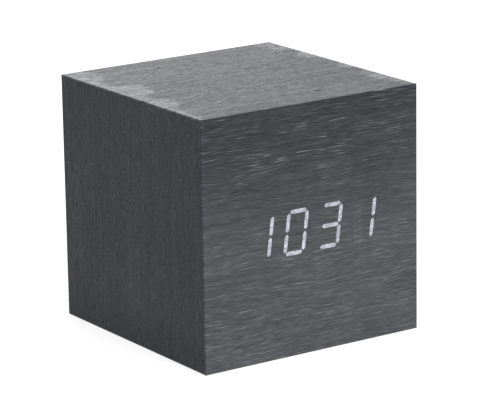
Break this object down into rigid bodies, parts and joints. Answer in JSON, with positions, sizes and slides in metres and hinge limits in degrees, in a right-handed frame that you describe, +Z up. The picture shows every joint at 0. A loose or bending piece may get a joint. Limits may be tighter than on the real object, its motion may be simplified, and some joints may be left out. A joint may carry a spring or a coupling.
{
  "type": "alarm clock",
  "caption": "Cube-shaped alarm clock in black-stained wood veneer, with white seven-segment digits shining through the front, push buttons and power inlet behind, and a battery door underneath.",
  "frame": {"origin": "middle of the flat underside, on the surface that the clock stands on", "axes": "+Z up; -Y out of the front face with the digits; +X to the right seen from the front; +Y out of the back with the buttons"},
  "size_m": [0.08, 0.0804, 0.079],
  "materials": {
    "stained_veneer": "black-stained open-grain veneer, satin",
    "painted_board": "fibreboard with black-stained edges, matt",
    "plain_softwood": "sawn",
    "lit_veneer": "veneer lit from behind by white diodes",
    "black_plastic": "moulded",
    "milky_resin": "cast, translucent white",
    "led_phosphor": "phosphor-coated chips",
    "circuit_laminate": "green solder mask",
    "black_steel": "black oxide",
    "zinc_steel": "zinc-plated",
    "nickel_plate": "nickel-plated",
    "ivory_plastic": "moulded nylon",
    "grey_insulation": "extruded ribbon",
    "red_insulation": "extruded",
    "black_insulation": "extruded",
    "cell_jacket": "plain printed jacket, no lettering"
  },
  "bodies": {
    "case": {"back_board": "painted_board", "back_screws": "black_steel", "back_veneer": "stained_veneer", "battery_tray": "black_plastic", "battery_tray_screws": "black_steel", "black_lead": "black_insulation", "bottom_board": "painted_board", "bottom_veneer": "stained_veneer", "bridge_contacts": "nickel_plate", "buzzer": "black_plastic", "capacitor": "black_plastic", "cell_1": "cell_jacket", "cell_2": "cell_jacket", "cell_3": "cell_jacket", "clock_chip": "black_plastic", "coin_cell": "nickel_plate", "coin_cell_holder": "black_plastic", "contact_springs": "nickel_plate", "corner_blocks": "plain_softwood", "crystal": "nickel_plate", "display_housing": "black_plastic", "front_board": "painted_board", "front_veneer": "stained_veneer", "inlet_tongue": "black_plastic", "key_board": "circuit_laminate", "key_board_screws": "zinc_steel", "key_socket": "ivory_plastic", "led_chips": "led_phosphor", "left_board": "painted_board", "left_veneer": "stained_veneer", "lit_digit_1": "lit_veneer", "lit_digit_2": "lit_veneer", "lit_digit_3": "lit_veneer", "lit_digit_4": "lit_veneer", "main_board": "circuit_laminate", "main_board_screws": "zinc_steel", "main_socket": "ivory_plastic", "microphone": "nickel_plate", "negative_terminal": "nickel_plate", "positive_terminal": "nickel_plate", "power_inlet": "nickel_plate", "red_lead": "red_insulation", "ribbon_cable": "grey_insulation", "ribbon_plugs": "ivory_plastic", "right_board": "painted_board", "right_veneer": "stained_veneer", "segment_resin": "milky_resin", "switch_bases": "black_plastic", "switch_covers": "nickel_plate", "switch_domes": "nickel_plate", "top_board": "painted_board", "top_veneer": "stained_veneer"},
    "set_key": {"set_button": "black_plastic", "set_plunger": "black_plastic"},
    "up_key": {"up_button": "black_plastic", "up_plunger": "black_plastic"},
    "down_key": {"down_button": "black_plastic", "down_plunger": "black_plastic"},
    "door": {"battery_door": "black_plastic"}
  },
  "joints": [
    {"name": "set_key", "type": "slide", "parent": "case", "child": "set_key", "axis": [0, -1, 0], "range_m": [0, 0.00025], "stiffness_N_per_m": 1500},
    {"name": "up_key", "type": "slide", "parent": "case", "child": "up_key", "axis": [0, -1, 0], "range_m": [0, 0.00025], "stiffness_N_per_m": 1500},
    {"name": "down_key", "type": "slide", "parent": "case", "child": "down_key", "axis": [0, -1, 0], "range_m": [0, 0.00025], "stiffness_N_per_m": 1500},
    {"name": "battery_door_hinge", "type": "hinge", "parent": "case", "child": "door", "pos_m": [-0.02785, 0, 0.0003], "axis": [0, 1, 0], "range_deg": [0, 50]}
  ]
}
